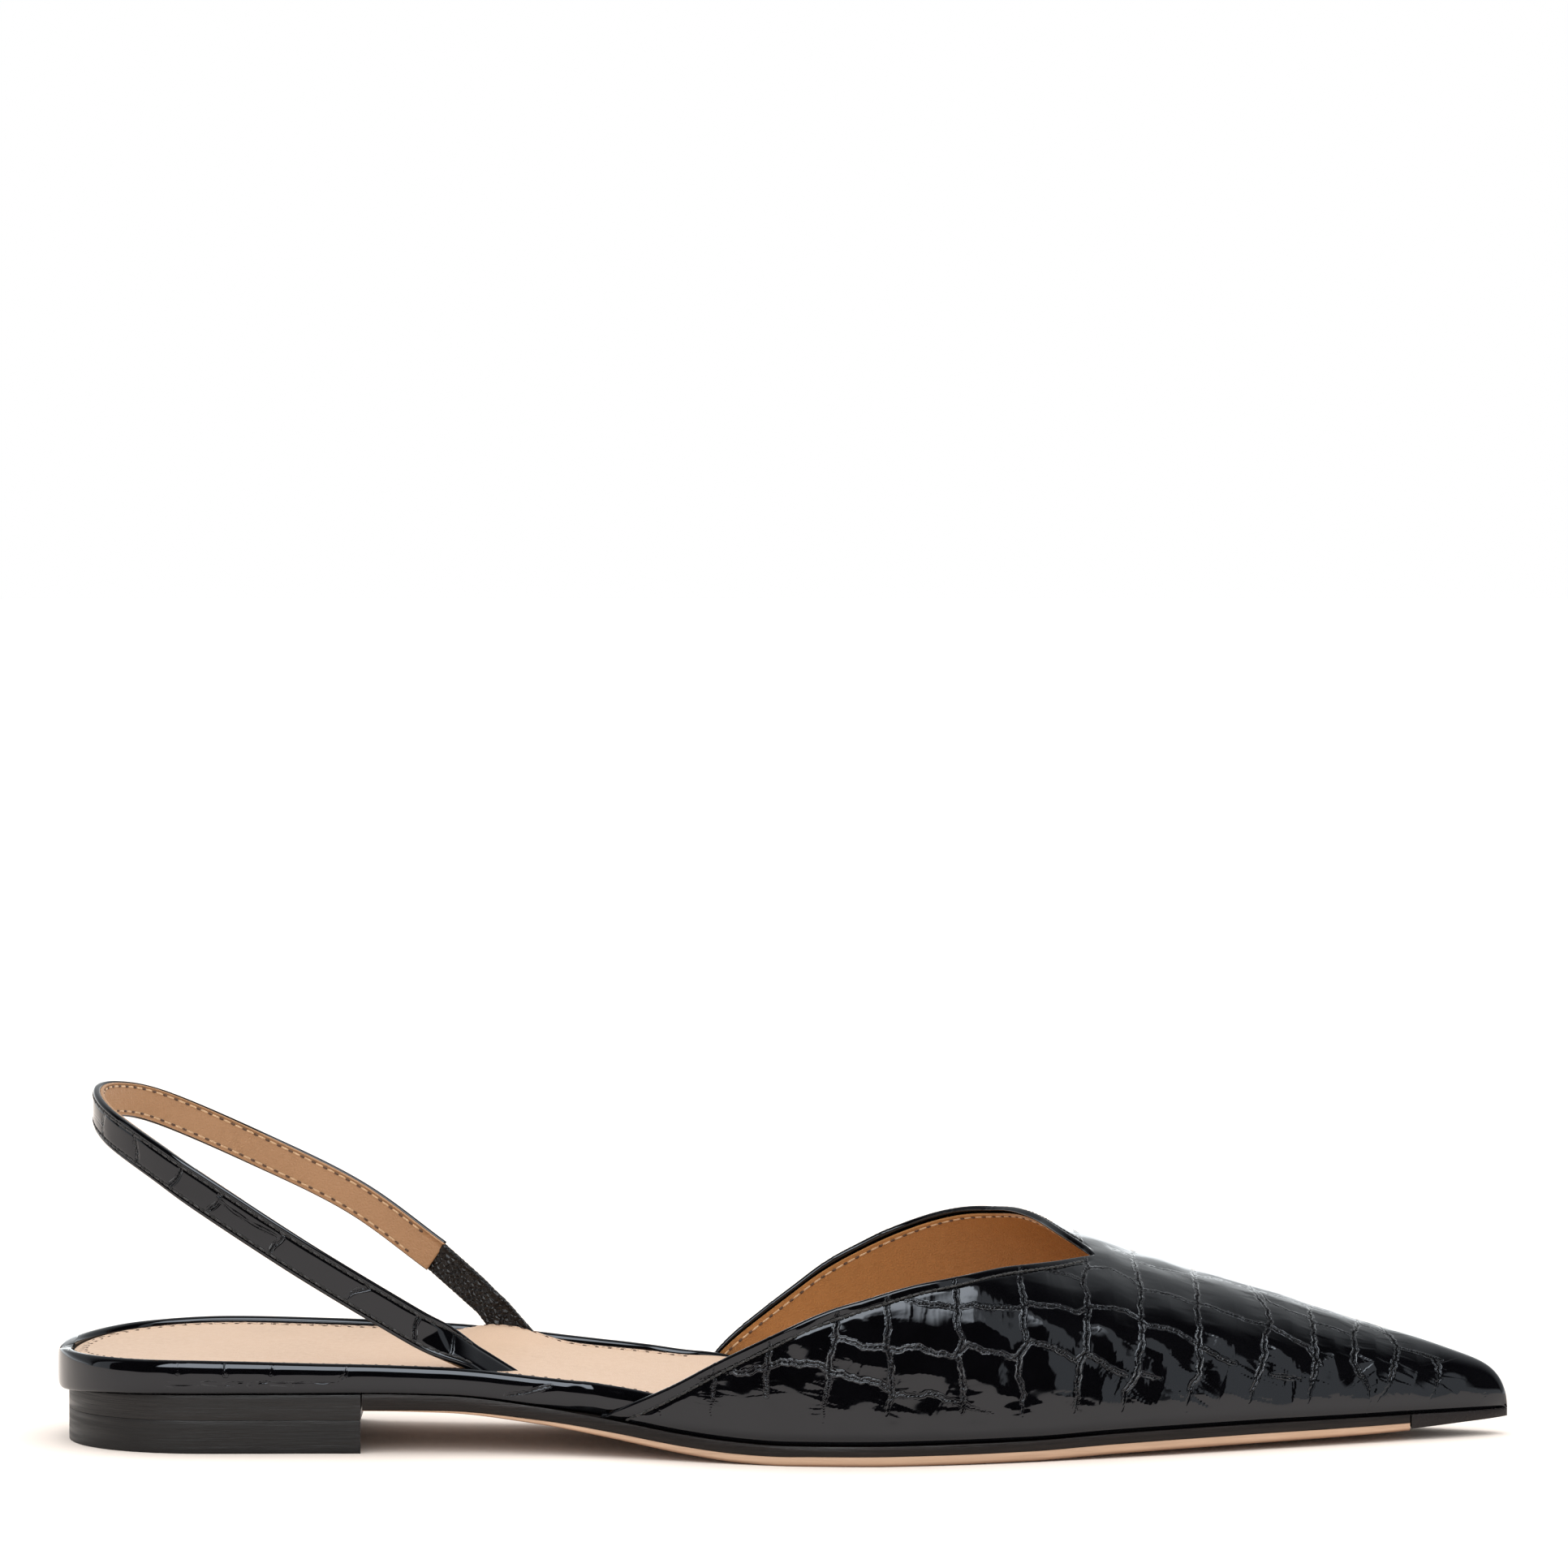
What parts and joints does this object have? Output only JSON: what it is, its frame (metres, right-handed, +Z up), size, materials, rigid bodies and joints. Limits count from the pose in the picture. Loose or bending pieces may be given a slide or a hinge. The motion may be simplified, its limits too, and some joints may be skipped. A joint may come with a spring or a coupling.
{
  "type": "sling back flat shoe",
  "caption": "Pointed low-heeled slingback flat, right shoe: scale-embossed patent vamp with V throat, open back, heel strap with elastic, leather sock and sole.",
  "frame": {"origin": "on the floor, under the middle of the shoe's box", "axes": "+X from heel to toe, +Y to the medial (inner) side, +Z up"},
  "size_m": [0.27, 0.0795, 0.0656],
  "materials": {
    "patent": "black patent with an embossed scale pattern",
    "patent_rand": "black patent wrapped round the footbed's edge",
    "patent_strap": "black patent with an embossed scale pattern",
    "sock_leather": "smooth nude calf",
    "sole_leather": "natural veg-tanned leather, waxed edge",
    "heel_leather": "black stained stacked leather, fine grain",
    "top_piece_rubber": "matt black rubber",
    "tip_rubber": "matt black rubber",
    "elastic": "black elastic faced with soft leather"
  },
  "bodies": {
    "root": {"vamp": "patent", "footbed": "patent_rand", "sock": "sock_leather", "outsole": "sole_leather", "toe_tip": "tip_rubber", "heel_stack": "heel_leather", "heel_top_piece": "top_piece_rubber", "sling_strap": "patent_strap", "strap_elastic": "elastic"}
  },
  "joints": []
}
